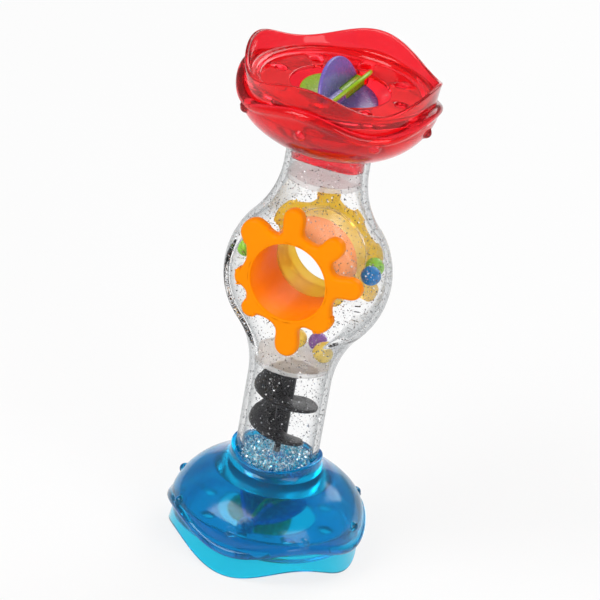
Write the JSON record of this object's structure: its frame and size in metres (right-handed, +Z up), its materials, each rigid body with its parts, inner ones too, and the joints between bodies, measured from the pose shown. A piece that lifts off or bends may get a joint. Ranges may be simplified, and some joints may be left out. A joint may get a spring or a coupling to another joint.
{
  "type": "sand wheel toy",
  "caption": "Hand-held sand and water wheel rattle: wave-rimmed translucent bowls with paddle wheels on a clear flask holding loose balls, a spiral and a spinning gear tunnel.",
  "frame": {"origin": "centre of the standing circle under the blue bowl, where its wave crests touch the ground", "axes": "+Z up the toy's axis from the blue bowl to the red bowl, -Y towards the orange gear, +X to the right seen from the orange gear"},
  "size_m": [0.1, 0.1, 0.2624],
  "materials": {
    "blue_plastic": "translucent gloss",
    "red_plastic": "translucent gloss",
    "green_plastic": "moulded gloss",
    "purple_plastic": "moulded gloss",
    "clear_glitter_plastic": "clear gloss with glitter flecks",
    "clear_plastic": "clear gloss",
    "black_plastic": "moulded gloss",
    "orange_plastic": "moulded gloss",
    "yellow_plastic": "moulded gloss",
    "ball_red": "gloss",
    "ball_pink": "gloss",
    "ball_green": "gloss",
    "ball_blue": "gloss",
    "ball_yellow": "gloss",
    "ball_purple": "gloss",
    "axle_steel": "drawn wire"
  },
  "bodies": {
    "toy_body": {"blue_bowl": "blue_plastic", "blue_strainer": "blue_plastic", "blue_axle": "axle_steel", "red_bowl": "red_plastic", "red_strainer": "red_plastic", "red_axle": "axle_steel", "front_shell": "clear_glitter_plastic", "rear_shell": "clear_glitter_plastic", "tunnel_sleeve": "clear_plastic", "chamber_floor": "clear_plastic", "neck_disc": "clear_plastic", "tube_plug": "clear_plastic"},
    "gear_pair": {"front_gear": "orange_plastic", "rear_gear": "yellow_plastic"},
    "red_wheel": {"red_wheel_green": "green_plastic", "red_wheel_purple": "purple_plastic"},
    "blue_wheel": {"blue_wheel_green": "green_plastic", "blue_wheel_purple": "purple_plastic"},
    "spiral_screw": {"spiral": "black_plastic"},
    "loose_ball_red": {"ball_red": "ball_red"},
    "loose_ball_pink": {"ball_pink": "ball_pink"},
    "loose_ball_green_left": {"ball_green_left": "ball_green"},
    "loose_ball_green_right": {"ball_green_right": "ball_green"},
    "loose_ball_blue": {"ball_blue": "ball_blue"},
    "loose_ball_yellow_front": {"ball_yellow_front": "ball_yellow"},
    "loose_ball_yellow_side": {"ball_yellow_side": "ball_yellow"},
    "loose_ball_purple": {"ball_purple": "ball_purple"}
  },
  "joints": [
    {"name": "gear_spin", "type": "hinge", "parent": "toy_body", "child": "gear_pair", "pos_m": [0, 0, 0.1539], "axis": [0, 1, 0], "continuous": true},
    {"name": "red_wheel_spin", "type": "hinge", "parent": "toy_body", "child": "red_wheel", "pos_m": [0, 0, 0.2431], "axis": [0, 1, 0], "continuous": true},
    {"name": "blue_wheel_spin", "type": "hinge", "parent": "toy_body", "child": "blue_wheel", "pos_m": [0, 0, 0.0193], "axis": [0, 1, 0], "continuous": true},
    {"name": "spiral_spin", "type": "hinge", "parent": "toy_body", "child": "spiral_screw", "pos_m": [0, 0, 0.075], "axis": [0, 0, 1], "continuous": true},
    {"name": "ball_red_hop", "type": "slide", "parent": "toy_body", "child": "loose_ball_red", "axis": [0, 0, 1], "range_m": [0, 0.003]},
    {"name": "ball_pink_hop", "type": "slide", "parent": "toy_body", "child": "loose_ball_pink", "axis": [0, 0, 1], "range_m": [0, 0.003]},
    {"name": "ball_green_left_hop", "type": "slide", "parent": "toy_body", "child": "loose_ball_green_left", "axis": [0, 0, 1], "range_m": [0, 0.003]},
    {"name": "ball_green_right_hop", "type": "slide", "parent": "toy_body", "child": "loose_ball_green_right", "axis": [0, 0, 1], "range_m": [0, 0.003]},
    {"name": "ball_blue_hop", "type": "slide", "parent": "toy_body", "child": "loose_ball_blue", "axis": [0, 0, 1], "range_m": [0, 0.003]},
    {"name": "ball_yellow_front_hop", "type": "slide", "parent": "toy_body", "child": "loose_ball_yellow_front", "axis": [0, 0, 1], "range_m": [0, 0.014]},
    {"name": "ball_yellow_side_hop", "type": "slide", "parent": "toy_body", "child": "loose_ball_yellow_side", "axis": [0, 0, 1], "range_m": [0, 0.014]},
    {"name": "ball_purple_hop", "type": "slide", "parent": "toy_body", "child": "loose_ball_purple", "axis": [0, 0, 1], "range_m": [0, 0.014]}
  ]
}
